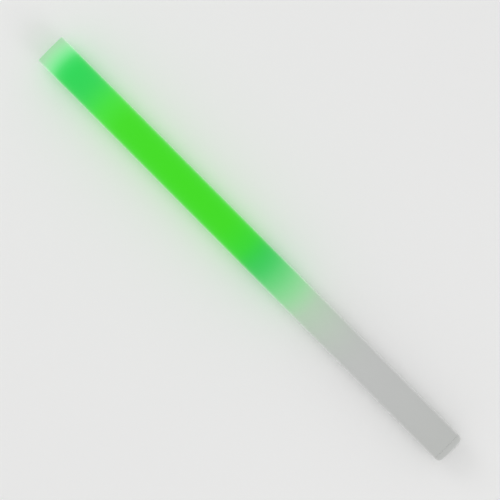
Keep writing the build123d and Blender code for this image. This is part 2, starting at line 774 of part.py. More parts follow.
def nose_cap():
    """Disc that closes the housing's nose and carries the tail contact."""
    start = HOUSING_NOSE_END - NOSE_CAP_THICKNESS
    cap = rod(start, HOUSING_NOSE_END, nose_bore - BOND_GAP)
    return cap - rod(start - 1, HOUSING_NOSE_END + 1, RIVET_RADIUS + TOUCH_GAP)


def tail_contact():
    """Spring seat with a stud that runs through the nose cap to the switch board."""
    plate = rod(HOUSING_NOSE_END, tail_contact_end, TAIL_CONTACT_RADIUS)
    return plate + rod(switch_board_end + TOUCH_GAP, HOUSING_NOSE_END, RIVET_RADIUS)


def tail_spring():
    """Conical spring that presses the cells towards the head."""
    wide, narrow = TAIL_SPRING_RADII
    start = tail_contact_end + TOUCH_GAP
    end = first_cell - TOUCH_GAP
    return coil(start, end, wide, narrow, TAIL_SPRING_WIRE, TAIL_SPRING_TURNS)


def return_leaf():
    """Sprung leaf from the switch board to the return strip."""
    half = LEAF_THICKNESS / 2
    start = switch_board_end + TOUCH_GAP + half
    heel = -nose_radius - SLIDE_GAP - half
    touch = -strip_top + RUB_GAP + half
    line = Polyline(
        (start, -switch_half),
        (start, heel),
        (start + LEAF_LENGTH / 2, heel),
        (start + 0.8 * LEAF_LENGTH, touch),
        (start + LEAF_LENGTH, heel),
    )
    return Rot(90, 0, 0) * extrude(trace(line, LEAF_THICKNESS), LEAF_WIDTH / 2, both=True)


def write(node, piece):
    """Moves a sub-part into the baton's frame and writes it as one STEP file."""
    frame = Pos(-OVERALL_LENGTH / 2, 0, barrel_radius)
    pieces = piece if isinstance(piece, list) else [piece]
    solids = [frame * solid for item in pieces for solid in item.solids()]
    shape = solids[0] if len(solids) == 1 else Compound(children=solids)
    export_step(shape, f"parts/{node}.step")


os.makedirs("parts", exist_ok=True)

write("lens_tube", lens_tube())
write("head_plug", head_plug())
write("head_cushion", head_cushion())
write("diffuser_tube", diffuser_tube())
write("led_board", led_board())
write("led_packages", led_packages())
write("led_windows", led_windows())
write("led_resistors", led_resistors())
write("board_rings", board_rings())
write("light_bulkhead", light_bulkhead())
write("control_tray", control_tray())
write("tray_screws", tray_screws())
write("control_board", control_board())
write("control_chip", control_chip())
write("chip_legs", chip_legs())
write("inductor", inductor())
write("capacitors", capacitors())
write("control_resistors", control_resistors())
write("battery_tube", battery_tube())
write("return_strip", return_strip())
write("front_contact", front_contact())
for count in range(CELL_COUNT):
    write(f"cell_{count + 1}", cell(count))
write("cell_sleeves", cell_sleeves())
write("grip_liner", grip_liner())
write("tail_bush", tail_bush())
write("battery_lead", battery_lead())
write("return_lead", return_lead())
write("led_lead_left", led_lead(1))
write("led_lead_right", led_lead(-1))
write("tail_collar", tail_collar())
write("collar_gasket", collar_gasket())
write("retaining_ring", retaining_ring())
write("button_cap", button_cap())
write("button_spring", button_spring())
write("switch_housing", switch_housing())
write("housing_seal", housing_seal())
write("switch_body", switch_body())
write("switch_plunger", switch_plunger())
write("switch_board", switch_board())
write("switch_pins", switch_pins())
write("nose_cap", nose_cap())
write("tail_contact", tail_contact())
write("tail_spring", tail_spring())
write("return_leaf", return_leaf())
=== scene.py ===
"""Traffic baton light, lit: a milky tube that glows green over its upper half.

The pieces follow in the order in which the baton is put together: the tube and its head, the
light section, the control section, the cells, the tail with its switch, and then the studio.
"""

import math

import bmesh
import bpy
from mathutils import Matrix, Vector


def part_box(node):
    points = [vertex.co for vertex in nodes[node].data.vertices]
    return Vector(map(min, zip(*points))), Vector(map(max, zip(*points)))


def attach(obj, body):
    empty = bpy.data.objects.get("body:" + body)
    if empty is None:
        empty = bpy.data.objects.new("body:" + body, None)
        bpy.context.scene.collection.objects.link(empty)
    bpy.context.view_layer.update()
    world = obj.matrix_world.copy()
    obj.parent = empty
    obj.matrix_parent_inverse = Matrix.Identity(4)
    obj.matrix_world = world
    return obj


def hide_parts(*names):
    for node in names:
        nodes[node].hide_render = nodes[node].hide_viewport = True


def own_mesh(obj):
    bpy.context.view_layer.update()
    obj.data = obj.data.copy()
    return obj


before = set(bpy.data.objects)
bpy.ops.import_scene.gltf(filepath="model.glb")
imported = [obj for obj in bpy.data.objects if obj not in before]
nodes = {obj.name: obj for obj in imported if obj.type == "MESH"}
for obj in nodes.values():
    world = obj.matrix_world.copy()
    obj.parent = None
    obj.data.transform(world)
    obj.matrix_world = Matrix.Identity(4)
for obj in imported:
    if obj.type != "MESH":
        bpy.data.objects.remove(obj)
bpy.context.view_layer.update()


# Outer tube. The real one is extruded in milky plastic and sawn square at the head. Its wall
# scatters the lamp's light, so it looks green where the lamp is, dims behind the bulkhead and
# fades to plain white over the grip. That light is painted into the wall's base colour and its
# glow by the distance from the head, with a painted shadow behind the bulkhead. It is the shell
# that every fixed piece is bonded into.

TUBE_WALL = 0.002
HEAD_EDGE = 0.0007
TAIL_EDGE = 0.0001
BORE_EDGE = 0.0001
TUBE_STEPS = 192
TUBE_RINGS = 90
HEAD_EDGE_STEPS = 6
FINE_EDGE_STEPS = 3
CREASE = math.radians(35)  # a corner that turns further than this stays sharp
MILLIMETRES = 1000  # to a metre
GLOSS_SWING = 0.05  # how far a plastic's clouds move its gloss
ROOM_LIGHT = 0.86  # how bright the studio makes a white surface
MILKY_GLOSS = 0.34
MILKY_DEPTH = 0.00003
MILKY_SHEEN = {"IOR": 1.3, "Sheen_Weight": 1, "Sheen_Roughness": 0.3}
MILKY_WHITE = (0.585, 0.595, 0.585)
TAIL_WHITE = (0.560, 0.572, 0.556)
UNLIT_TUBE = tuple(ROOM_LIGHT * part for part in MILKY_WHITE)
UNLIT_TAIL = tuple(ROOM_LIGHT * part for part in TAIL_WHITE)
# The wall's colour with the lamp's light painted in: green where the lamp is, a painted shadow
# behind the bulkhead, plain white over the grip.
WALL_AND_PAINTED_GLOW = [  # distance from the head, and the colour that the wall shows there
    (0.000, (0.390, 0.700, 0.420)),
    (0.006, (0.360, 0.800, 0.410)),
    (0.014, (0.205, 0.860, 0.305)),
    (0.022, (0.032, 0.712, 0.112)),
    (0.035, (0.023, 0.668, 0.088)),
    (0.055, (0.030, 0.665, 0.094)),
    (0.076, (0.066, 0.780, 0.045)),
    (0.100, (0.052, 0.710, 0.010)),
    (0.235, (0.050, 0.710, 0.010)),
    (0.265, (0.037, 0.690, 0.028)),
    # painted shadow of the bulkhead
    (0.282, (0.030, 0.580, 0.085)),
    (0.302, (0.085, 0.640, 0.158)),
    (0.328, (0.300, 0.714, 0.335)),
    (0.350, (0.475, 0.605, 0.470)),
    (0.400, UNLIT_TUBE),
    (0.450, UNLIT_TUBE),
    (0.510, UNLIT_TAIL),
    (0.540, UNLIT_TAIL),
]
# The part of that colour that is not the wall's own light is painted into its base colour as lamp
# light.
GLOW_SHARE = [  # distance from the head, and how much of that colour is the wall's own light
    (0.000, 0.50),
    (0.030, 0.65),
    (0.250, 0.65),
    (0.300, 0.50),
    (0.370, 0.00),
    (0.400, 0.00),
]
LIT_MIDDLE = 0.165  # from the head to the middle of the lit part
# The painted lamp light ends sooner on the sides that the board's edges face.
SIDE_FALL = 0.018  # the glow ends this share sooner on the sides that the board's edges face

tube_low, tube_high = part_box("lens_tube")
tube_radius = (tube_high.z - tube_low.z) / 2
axis_height = (tube_high.z + tube_low.z) / 2
head_x = tube_high.x
baton_length = head_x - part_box("button_cap")[0].x


def rounded(corner_x, corner_r, toward_x, toward_r, radius, steps):
    """Points of a rounded corner, from the face across the axis to the wall along it."""
    centre_x = corner_x + toward_x * radius
    centre_r = corner_r + toward_r * radius
    points = []
    for step in range(steps + 1):
        angle = math.pi / 2 * step / steps
        x = centre_x - toward_x * radius * math.cos(angle)
        r = centre_r - toward_r * radius * math.sin(angle)
        points.append((x, r))
    return points


def smooth_mesh(name, work):
    """The mesh of a piece, smooth all over but for its creases."""
    bmesh.ops.recalc_face_normals(work, faces=work.faces)
    mesh = bpy.data.meshes.new(name)
    work.to_mesh(mesh)
    work.free()
    mesh.shade_smooth()
    mesh.set_sharp_from_angle(angle=CREASE)
    return mesh


def turned_mesh(name, outline, steps):
    """A closed outline of (x, radius) points turned about the baton's axis."""
    work = bmesh.new()
    rings = []
    for x, r in outline:
        ring = []
        for step in range(steps):
            angle = 2 * math.pi * step / steps
            height = axis_height + r * math.cos(angle)
            ring.append(work.verts.new((x, r * math.sin(angle), height)))
        rings.append(ring)
    for near, far in zip(rings, rings[1:] + rings[:1]):
        for step in range(steps):
            after = (step + 1) % steps
            work.faces.new((near[step], near[after], far[after], far[step]))
    return smooth_mesh(name, work)


def add_piece(name, mesh, body, slot_name, material, *stands_for):
    """A new piece that rides on a body, in the place of the CAD nodes named."""
    piece = bpy.data.objects.new(name, mesh)
    bpy.context.scene.collection.objects.link(piece)
    mesh.materials.append(material)
    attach(piece, body)
    if stands_for:
        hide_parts(*stands_for)
    return piece


def new_group(name, inputs, outputs):
    """An empty shader node group with the inputs and outputs named."""
    tree = bpy.data.node_groups.new(name, "ShaderNodeTree")
    for label, kind, value in inputs:
        socket = tree.interface.new_socket(label, in_out="INPUT", socket_type="NodeSocket" + kind)
        socket.default_value = value
    for label, kind in outputs:
        tree.interface.new_socket(label, in_out="OUTPUT", socket_type="NodeSocket" + kind)
    return tree, tree.nodes.new("NodeGroupInput"), tree.nodes.new("NodeGroupOutput")


def add_node(tree, kind, **settings):
    """A node with its settings. A value goes to the input of that name, a socket is linked."""
    node = tree.nodes.new("ShaderNode" + kind)
    for key, value in settings.items():
        label = key.replace("_", " ")
        if label not in node.inputs:
            setattr(node, key, value)
        elif isinstance(value, bpy.types.NodeSocket):
            tree.links.new(value, node.inputs[label])
        else:
            node.inputs[label].default_value = value
    return node


def maths(tree, operation, *values):
    """The result of a Math node. Each value is a number or a socket."""
    node = add_node(tree, "Math", operation=operation)
    for socket, value in zip(node.inputs, values):
        if isinstance(value, bpy.types.NodeSocket):
            tree.links.new(value, socket)
        else:
            socket.default_value = value
    return node.outputs["Value"]


def scaled(tree, colour, factor):
    """A colour times a factor, each of them a socket."""
    node = add_node(tree, "VectorMath", operation="SCALE")
    tree.links.new(colour, node.inputs[0])
    tree.links.new(factor, node.inputs["Scale"])
    return node.outputs["Vector"]


def colour_band(tree, factor, stops, blend="LINEAR"):
    """The colour that stops of (place, colour) give for a factor from 0 to 1."""
    ramp = add_node(tree, "ValToRGB", Fac=factor)
    ramp.color_ramp.interpolation = blend
    band = ramp.color_ramp.elements
    while len(band) < len(stops):
        band.new(1)
    for element, (place, colour) in zip(band, stops):
        element.position = place
        element.color = (*colour, 1)
    return ramp.outputs["Color"]


def body_place(tree):
    """The place of a point of the piece, in metres, with the piece at rest."""
    return add_node(tree, "TexCoord").outputs["Object"]


def body_axes(tree):
    """The X, Y and Z of that place."""
    apart = add_node(tree, "SeparateXYZ", Vector=body_place(tree))
    return apart.outputs["X"], apart.outputs["Y"], apart.outputs["Z"]


def drawn_out(tree, stretch):
    """That place with X divided by stretch, so that a grain runs along the baton."""
    x, y, z = body_axes(tree)
    drawn = add_node(tree, "CombineXYZ", X=maths(tree, "DIVIDE", x, stretch), Y=y, Z=z)
    return drawn.outputs["Vector"]


def make_moulding_grain():
    """Fine grain, faint clouds of shade and uneven gloss of a moulded or extruded plastic."""
    inputs = [
        ("Colour", "Color", (0.8, 0.8, 0.8, 1)),
        ("Grain", "Float", 0.4),
        ("Stretch", "Float", 1.0),
        ("Clouds", "Float", 15.0),
        ("Shade", "Float", 0.04),
        ("Gloss Low", "Float", 0.3),
        ("Gloss High", "Float", 0.45),
    ]
    outputs = [("Colour", "Color"), ("Roughness", "Float"), ("Height", "Float")]
    tree, given, result = new_group("moulding grain", inputs, outputs)
    grain = add_node(
        tree,
        "TexNoise",
        Vector=drawn_out(tree, given.outputs["Stretch"]),
        Scale=maths(tree, "DIVIDE", MILLIMETRES, given.outputs["Grain"]),
        Detail=4,
        Roughness=0.55,
    )
    clouds = add_node(
        tree,
        "TexNoise",
        Vector=body_place(tree),
        Scale=maths(tree, "DIVIDE", MILLIMETRES, given.outputs["Clouds"]),
        Detail=3,
        Roughness=0.5,
    )
    uneven = add_node(
        tree,
        "MapRange",
        Value=clouds.outputs["Fac"],
        From_Min=0.3,
        From_Max=0.7,
        To_Min=given.outputs["Gloss Low"],
        To_Max=given.outputs["Gloss High"],
    )
    both = maths(tree, "ADD", clouds.outputs["Fac"], grain.outputs["Fac"])
    swing = maths(tree, "SUBTRACT", both, 1)
    amount = maths(tree, "MULTIPLY_ADD", swing, given.outputs["Shade"], 1)
    colour = scaled(tree, given.outputs["Colour"], amount)
    tree.links.new(colour, result.inputs["Colour"])
    tree.links.new(uneven.outputs["Result"], result.inputs["Roughness"])
    tree.links.new(grain.outputs["Fac"], result.inputs["Height"])
    return tree


moulding_grain = make_moulding_grain()


def new_material(name, **surface):
    """A material with one Principled shader, and its settings by input name."""
    material = bpy.data.materials.new(name)
    material.use_nodes = True
    shader = material.node_tree.nodes["Principled BSDF"]
    for key, value in surface.items():
        shader.inputs[key.replace("_", " ")].default_value = value
    return material, material.node_tree, shader


def feed(tree, shader, depth, **sockets):
    """Links colour, roughness and so on to a shader, and a height to its normal as a relief."""
    for key, socket in sockets.items():
        if key == "Height":
            relief = add_node(tree, "Bump", Height=socket, Distance=depth)
            tree.links.new(relief.outputs["Normal"], shader.inputs["Normal"])
        else:
            tree.links.new(socket, shader.inputs[key.replace("_", " ")])


def feed_skin(tree, shader, skin, depth):
    """Links the colour, roughness and relief of a finish to a shader."""
    feed(
        tree,
        shader,
        depth,
        Base_Color=skin.outputs["Colour"],
        Roughness=skin.outputs["Roughness"],
        Height=skin.outputs["Height"],
    )


def moulded(name, colour, grain, gloss, clouds, shade, depth=0.00001, stretch=1, **surface):
    """A plastic with the moulding grain. Grain and clouds are in millimetres, depth in metres."""
    material, tree, shader = new_material(name, **surface)
    skin = add_node(
        tree,
        "Group",
        node_tree=moulding_grain,
        Colour=(*colour, 1),
        Grain=grain,
        Stretch=stretch,
        Clouds=clouds,
        Shade=shade,
        Gloss_Low=gloss - GLOSS_SWING,
        Gloss_High=gloss + GLOSS_SWING,
    )
    feed_skin(tree, shader, skin, depth)
    return material, tree, skin, shader


def make_lamp_glow():
    """The wall's colour with painted lamp light, and its glow, by the distance from the head."""
    outputs = [("Wall With Painted Light", "Color"), ("Glow", "Color")]
    tree, given, result = new_group("painted lamp glow", [("Glow Amount", "Float", 1.0)], outputs)
    x, y, _ = body_axes(tree)
    sideways = maths(tree, "POWER", maths(tree, "DIVIDE", y, tube_radius), 2)
    sooner = maths(tree, "MULTIPLY_ADD", sideways, SIDE_FALL, 1)
    from_middle = maths(tree, "SUBTRACT", head_x - LIT_MIDDLE, x)
    reach = maths(tree, "MULTIPLY_ADD", from_middle, sooner, LIT_MIDDLE)
    behind = maths(tree, "DIVIDE", reach, baton_length)
    places = [(distance / baton_length, colour) for distance, colour in WALL_AND_PAINTED_GLOW]
    shares = [(distance / baton_length, (share,) * 3) for distance, share in GLOW_SHARE]
    colour = colour_band(tree, behind, places, "B_SPLINE")
    share = colour_band(tree, behind, shares, "B_SPLINE")
    own = maths(tree, "MULTIPLY", share, given.outputs["Glow Amount"])
    # The share that is not glow goes into the base colour as painted lamp light.
    rest = maths(tree, "DIVIDE", maths(tree, "SUBTRACT", 1, own), ROOM_LIGHT)
    tree.links.new(scaled(tree, colour, rest), result.inputs["Wall With Painted Light"])
    tree.links.new(scaled(tree, colour, own), result.inputs["Glow"])
    return tree


painted_lamp_glow = make_lamp_glow()


def paint_lamp_light(tree, skin, shader):
    """Paints the lamp's light into a plastic's colour and gives it the matching glow."""
    glow = add_node(tree, "Group", node_tree=painted_lamp_glow)
    tree.links.new(glow.outputs["Wall With Painted Light"], skin.inputs["Colour"])
    tree.links.new(glow.outputs["Glow"], shader.inputs["Emission Color"])
    shader.inputs["Emission Strength"].default_value = 1


milky_tube, tube_tree, tube_skin, tube_shader = moulded(
    "milky tube",
    MILKY_WHITE,
    grain=0.35,
    gloss=MILKY_GLOSS,
    clouds=40,
    shade=0.03,
    depth=MILKY_DEPTH,
    stretch=30,
    **MILKY_SHEEN,
)
# The lamp's light and the bulkhead's shadow are painted into the tube's colour and glow.
paint_lamp_light(tube_tree, tube_skin, tube_shader)

tube_bore = tube_radius - TUBE_WALL
ring_gap = (tube_high.x - tube_low.x) / TUBE_RINGS
side_rings = [tube_low.x + ring_gap * number for number in range(1, TUBE_RINGS)]
tube_outline = (
    rounded(tube_low.x, tube_radius, 1, -1, TAIL_EDGE, FINE_EDGE_STEPS)
    + [(x, tube_radius) for x in side_rings]
    + rounded(tube_high.x, tube_radius, -1, -1, HEAD_EDGE, HEAD_EDGE_STEPS)[::-1]
    + rounded(tube_high.x, tube_bore, -1, 1, BORE_EDGE, FINE_EDGE_STEPS)
    + [(x, tube_bore) for x in side_rings[::-1]]
    + rounded(tube_low.x, tube_bore, 1, 1, BORE_EDGE, FINE_EDGE_STEPS)[::-1]
)
add_piece(
    "outer_tube",
    turned_mesh("outer tube", tube_outline, TUBE_STEPS),
    "barrel",
    "milky_plastic",
    milky_tube,
    "lens_tube",
)


# Head plug. A disc of the same milky plastic, moulded with a skirt and a socket for the end
# of the LED board, and bonded flush into the tube.


def give_material(material, *names):
    """Puts one material on each CAD node named."""
    for name in names:
        for slot in nodes[name].material_slots:
            slot.material = material


milky_plug, plug_tree, plug_skin, plug_shader = moulded(
    "milky plug",
    MILKY_WHITE,
    grain=0.3,
    gloss=0.36,
    clouds=9,
    shade=0.03,
    depth=MILKY_DEPTH,
    IOR=1.4,
    Coat_Weight=0.2,
    Coat_Roughness=0.2,
)
# The lamp's light is painted into the plug's colour and glow, as on the tube.
paint_lamp_light(plug_tree, plug_skin, plug_shader)
give_material(milky_plug, "head_plug")


# Foam washer behind the plug. It is punched from closed-cell foam, takes up the play of the
# diffuser and shows the cut cells as small pits.

FOAM_CELL = 0.0007
FOAM_DEPTH = FOAM_CELL / 3
FOAM_COLOUR = (0.66, 0.66, 0.63, 1)

washer_foam, foam_tree, foam_shader = new_material("washer foam", Roughness=0.95)
foam_cells = add_node(
    foam_tree, "TexVoronoi", Vector=body_place(foam_tree), Scale=1 / FOAM_CELL
)
foam_rise = foam_cells.outputs["Distance"]
foam_wall = add_node(
    foam_tree, "MapRange", Value=foam_rise, From_Max=0.6, To_Min=0.62, To_Max=1
)
foam_tint = add_node(foam_tree, "RGB")
foam_tint.outputs[0].default_value = FOAM_COLOUR
foam_shade = scaled(foam_tree, foam_tint.outputs[0], foam_wall.outputs["Result"])
feed(foam_tree, foam_shader, FOAM_DEPTH, Base_Color=foam_shade, Height=foam_rise)
give_material(washer_foam, "head_cushion")


# Diffuser. A frosted tube that stands in the bulkhead and reaches to the plug. The lamps'
# light is painted on it as its own glow: a soft bright spot at each pair of lamps on both faces
# of the board, and a dim green between them.

LED_COUNT = 8
LED_SIZE = 0.005
SPOT_REACH = 0.012
DIFFUSER_WHITE = (0.36, 0.52, 0.37)
PAINTED_GLOW_BETWEEN = (0.01, 0.24, 0.01)
PAINTED_SPOT_GREEN = (0.08, 0.62, 0.05)
MIX_SOCKETS = (0, 6, 7)  # the factor and the two colours of a Mix node

led_low, led_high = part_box("led_packages")
led_first = led_low.x + LED_SIZE / 2
led_pitch = (led_high.x - led_low.x - LED_SIZE) / (LED_COUNT - 1)


def make_row_place():
    """How far along X a point lies from the middle of the nearest piece in a row, in metres."""
    inputs = [("First", "Float", 0.0), ("Pitch", "Float", 0.01)]
    tree, given, result = new_group("place in a row", inputs, [("Offset", "Float")])
    x, *_ = body_axes(tree)
    along = maths(tree, "SUBTRACT", x, given.outputs["First"])
    number = maths(tree, "ROUND", maths(tree, "DIVIDE", along, given.outputs["Pitch"]))
    middle = maths(tree, "MULTIPLY", number, given.outputs["Pitch"])
    tree.links.new(maths(tree, "SUBTRACT", along, middle), result.inputs["Offset"])
    return tree


row_place = make_row_place()


def place_in_row(tree, first, pitch):
    """The offset from the nearest piece of a row that starts at first."""
    node = add_node(tree, "Group", node_tree=row_place, First=first, Pitch=pitch)
    return node.outputs["Offset"]


def mask_under(tree, value, limit, softness):
    """1 where the size of a value is under a limit, 0 where it is over, with a soft edge."""
    size = maths(tree, "ABSOLUTE", value)
    span = add_node(
        tree, "MapRange", Value=size, From_Min=limit + softness / 2, From_Max=limit - softness / 2
    )
    return span.outputs["Result"]


def laid_over(tree, mask, under, over):
    """One colour laid over another by a mask. A colour is a socket or three numbers."""
    node = add_node(tree, "Mix", data_type="RGBA")
    factor, below, above = (node.inputs[number] for number in MIX_SOCKETS)
    tree.links.new(mask, factor)
    for socket, colour in ((below, under), (above, over)):
        if isinstance(colour, bpy.types.NodeSocket):
            tree.links.new(colour, socket)
        else:
            socket.default_value = (*colour, 1)
    return node.outputs[2]


diffuser_plastic, diffuser_tree, _, diffuser_shader = moulded(
    "frosted diffuser",
    DIFFUSER_WHITE,
    grain=0.25,
    gloss=0.6,
    clouds=12,
    shade=0.05,
    depth=0.00002,
    stretch=3,
)
# Painted pools of the lamps' light, one at each pair, glow on the diffuser.
spot_offset = place_in_row(diffuser_tree, led_first, led_pitch)
spot = mask_under(diffuser_tree, spot_offset, SPOT_REACH / 2, SPOT_REACH)
painted_light_spots = laid_over(diffuser_tree, spot, PAINTED_GLOW_BETWEEN, PAINTED_SPOT_GREEN)
feed(diffuser_tree, diffuser_shader, 0, Emission_Color=painted_light_spots)
diffuser_shader.inputs["Emission Strength"].default_value = 1
diffuser_plastic.cycles.emission_sampling = "NONE"
give_material(diffuser_plastic, "diffuser_tube")


# LED board. A long glass-fibre board under white solder mask, with a wide copper track along
# each edge, tinned pads under the lamps and the bare fibre showing on its sawn edges.

FIBRE_WEAVE = 0.0006
FIBRE_GLOSS = 0.72
FIBRE_BROWN = (0.42, 0.36, 0.18)
FIBRE_STRAW = (0.74, 0.68, 0.46)
EDGE_LEAN = 0.5  # a face that leans further than this from the board's face is a sawn edge
EDGE_BLUR = 0.2
TRACK_PLACE = 0.0058  # from the board's middle line
TRACK_WIDTH = 0.0024
PAD_LENGTH = 0.0044
PAD_WIDTH = 0.0062
PRINT_BLUR = 0.0001
BOARD_RELIEF = 0.00004
MASK_GLOSS = 0.32
MASK_WHITE = (0.80, 0.81, 0.79)
MASK_OVER_COPPER = (0.73, 0.74, 0.66)
TINNED = (0.70, 0.70, 0.68)


def make_fibre_edge():
    """Where a board's sawn edge shows, and the woven colour of the bare glass fibre there."""
    inputs = [("Face", "Vector", (0, 0, 1)), ("Weave", "Float", 0.0006)]
    tree, given, result = new_group("fibre edge", inputs, [("Edge", "Float"), ("Colour", "Color")])
    place = add_node(tree, "TexCoord")
    across = add_node(tree, "VectorMath", operation="DOT_PRODUCT")
    tree.links.new(place.outputs["Normal"], across.inputs[0])
    tree.links.new(given.outputs["Face"], across.inputs[1])
    edge = mask_under(tree, across.outputs["Value"], EDGE_LEAN, EDGE_BLUR)
    threads = add_node(
        tree,
        "TexNoise",
        Vector=place.outputs["Object"],
        Scale=maths(tree, "DIVIDE", 1, given.outputs["Weave"]),
        Detail=2,
    )
    fibre = laid_over(tree, threads.outputs["Fac"], FIBRE_BROWN, FIBRE_STRAW)
    tree.links.new(edge, result.inputs["Edge"])
    tree.links.new(fibre, result.inputs["Colour"])
    return tree


fibre_edge = make_fibre_edge()


def sawn_board(tree, shader, face, mask_colour, copper, pads):
    """Finishes a board: mask over copper, tinned pads, bare fibre on the edges."""
    skin = add_node(tree, "Group", node_tree=fibre_edge, Face=face, Weave=FIBRE_WEAVE)
    edge = skin.outputs["Edge"]
    colour = laid_over(tree, pads, mask_colour, TINNED)
    colour = laid_over(tree, edge, colour, skin.outputs["Colour"])
    flat = maths(tree, "SUBTRACT", 1, edge)
    bare = maths(tree, "MULTIPLY", pads, flat)
    gloss = maths(tree, "MULTIPLY_ADD", edge, FIBRE_GLOSS - MASK_GLOSS, MASK_GLOSS)
    raised = maths(tree, "MAXIMUM", copper, pads)
    height = maths(tree, "MULTIPLY", raised, flat)
    feed(
        tree, shader, BOARD_RELIEF, Base_Color=colour, Metallic=bare, Roughness=gloss, Height=height
    )


led_board_paint, strip_tree, strip_shader = new_material("white LED board")
_, strip_y, _ = body_axes(strip_tree)
strip_along = place_in_row(strip_tree, led_first, led_pitch)
track_offset = maths(strip_tree, "SUBTRACT", maths(strip_tree, "ABSOLUTE", strip_y), TRACK_PLACE)
strip_copper = mask_under(strip_tree, track_offset, TRACK_WIDTH / 2, PRINT_BLUR)
pad_along = mask_under(strip_tree, strip_along, PAD_LENGTH / 2, PRINT_BLUR)
pad_across = mask_under(strip_tree, strip_y, PAD_WIDTH / 2, PRINT_BLUR)
strip_pads = maths(strip_tree, "MULTIPLY", pad_along, pad_across)
strip_mask = laid_over(strip_tree, strip_copper, MASK_WHITE, MASK_OVER_COPPER)
sawn_board(strip_tree, strip_shader, (0, 0, 1), strip_mask, strip_copper, strip_pads)
give_material(led_board_paint, "led_board")


# LEDs and their chip resistors. The package is moulded in white plastic over a tinned lead
# frame that shows as three feet on each side. Clear silicone fills its well and glows.

LED_FOOT_PITCH = 0.0016
LED_FOOT_WIDTH = 0.0009
LED_FOOT_REACH = 0.0023  # from the board's middle line to where the feet begin
WINDOW_CORE = 0.0010
WINDOW_BLUR = 0.0016
LAMP_STRENGTH = 6
RESISTOR_LENGTH = 0.0032
RESISTOR_CAP = 0.0006
CAP_BLUR = 0.00004
SHARP_BLUR = 0.00005
PACKAGE_WHITE = (0.82, 0.82, 0.78)
RIM_GREEN = (0.03, 0.60, 0.02)
CORE_GREEN = (0.45, 1.00, 0.35)
CERAMIC_BLACK = (0.012, 0.012, 0.014)

led_case, case_tree, case_skin, case_shader = moulded(
    "LED package", PACKAGE_WHITE, grain=0.12, gloss=0.4, clouds=2, shade=0.03, depth=0.000004
)
_, case_y, _ = body_axes(case_tree)
case_offset = place_in_row(case_tree, led_first, led_pitch)
foot_place = maths(case_tree, "WRAP", case_offset, LED_FOOT_PITCH / 2, -LED_FOOT_PITCH / 2)
foot_along = mask_under(case_tree, foot_place, LED_FOOT_WIDTH / 2, SHARP_BLUR)
foot_inside = mask_under(case_tree, case_y, LED_FOOT_REACH, SHARP_BLUR)
feet = maths(case_tree, "MULTIPLY", foot_along, maths(case_tree, "SUBTRACT", 1, foot_inside))
case_colour = laid_over(case_tree, feet, case_skin.outputs["Colour"], TINNED)
feed(case_tree, case_shader, 0, Base_Color=case_colour, Metallic=feet)
give_material(led_case, "led_packages")


def far_from(tree, first, second, first_place=0, second_place=0):
    """How far a point lies from a line, by its two places across that line, in metres."""
    squares = []
    for value, middle in ((first, first_place), (second, second_place)):
        squares.append(maths(tree, "POWER", maths(tree, "SUBTRACT", value, middle), 2))
    return maths(tree, "SQRT", maths(tree, "ADD", *squares))


lamp_window, window_tree, window_shader = new_material("lamp window", Roughness=0.12, IOR=1.41)
_, window_y, _ = body_axes(window_tree)
window_offset = place_in_row(window_tree, led_first, led_pitch)
window_radius = far_from(window_tree, window_offset, window_y)
window_core = mask_under(window_tree, window_radius, WINDOW_CORE, WINDOW_BLUR)
window_light = laid_over(window_tree, window_core, RIM_GREEN, CORE_GREEN)
feed(window_tree, window_shader, 0, Base_Color=window_light, Emission_Color=window_light)
window_shader.inputs["Emission Strength"].default_value = LAMP_STRENGTH
lamp_window.cycles.emission_sampling = "NONE"
give_material(lamp_window, "led_windows")


def chip_resistor(name, first, pitch, length):
    """A black chip resistor with tinned caps at both ends, one of a row along X."""
    material, tree, skin, shader = moulded(
        name, CERAMIC_BLACK, grain=0.08, gloss=0.5, clouds=1, shade=0.2, depth=0.000003
    )
    body = mask_under(tree, place_in_row(tree, first, pitch), length / 2 - RESISTOR_CAP, CAP_BLUR)
    caps = maths(tree, "SUBTRACT", 1, body)
    colour = laid_over(tree, caps, skin.outputs["Colour"], TINNED)
    feed(tree, shader, 0, Base_Color=colour, Metallic=caps)
    return material


first_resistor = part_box("led_resistors")[0].x + RESISTOR_LENGTH / 2
strip_resistor = chip_resistor("LED resistor", first_resistor, led_pitch, RESISTOR_LENGTH)
give_material(strip_resistor, "led_resistors")


# Board rings. Two clear rings that keep the LED board in the middle of the diffuser. They are
# moulded in clear plastic so that they throw no shadow on it.

CLEAR_TINT = (0.93, 0.96, 0.94)

clear_plastic, *_ = moulded(
    "clear ring",
    CLEAR_TINT,
    grain=0.6,
    gloss=0.1,
    clouds=6,
    shade=0.02,
    depth=0.000006,
    Transmission_Weight=1,
    IOR=1.58,
)
give_material(clear_plastic, "board_rings")


# Bulkhead. A grey moulded disc that is bonded into the tube, holds the diffuser and the LED
# board, and keeps most of the light out of the grip.

BULKHEAD_GREY = (0.20, 0.21, 0.22)

grey_plastic, *_ = moulded(
    "grey bulkhead", BULKHEAD_GREY, grain=0.35, gloss=0.5, clouds=8, shade=0.12, depth=0.00002
)
give_material(grey_plastic, "light_bulkhead")


# Control tray and its screws. The tray is moulded in white plastic with a spark-eroded skin.
# The pan-head screws are zinc plated, with the plating worn bright on the rims of the heads.

TRAY_WHITE = (0.72, 0.72, 0.70)
ZINC = (0.60, 0.61, 0.60)
ZINC_STAIN = (0.42, 0.40, 0.33)
STAIN_SIZE = 0.0025
LINE_DEPTH = 0.000002
RIM_WEAR = 0.0001
RUBBED = 0.08  # how much smoother a metal is where it is rubbed
DULLED = 0.14  # how much rougher it is where it is stained

tray_plastic, *_ = moulded(
    "white tray", TRAY_WHITE, grain=0.25, gloss=0.55, clouds=10, shade=0.06, depth=0.00003
)
give_material(tray_plastic, "control_tray")


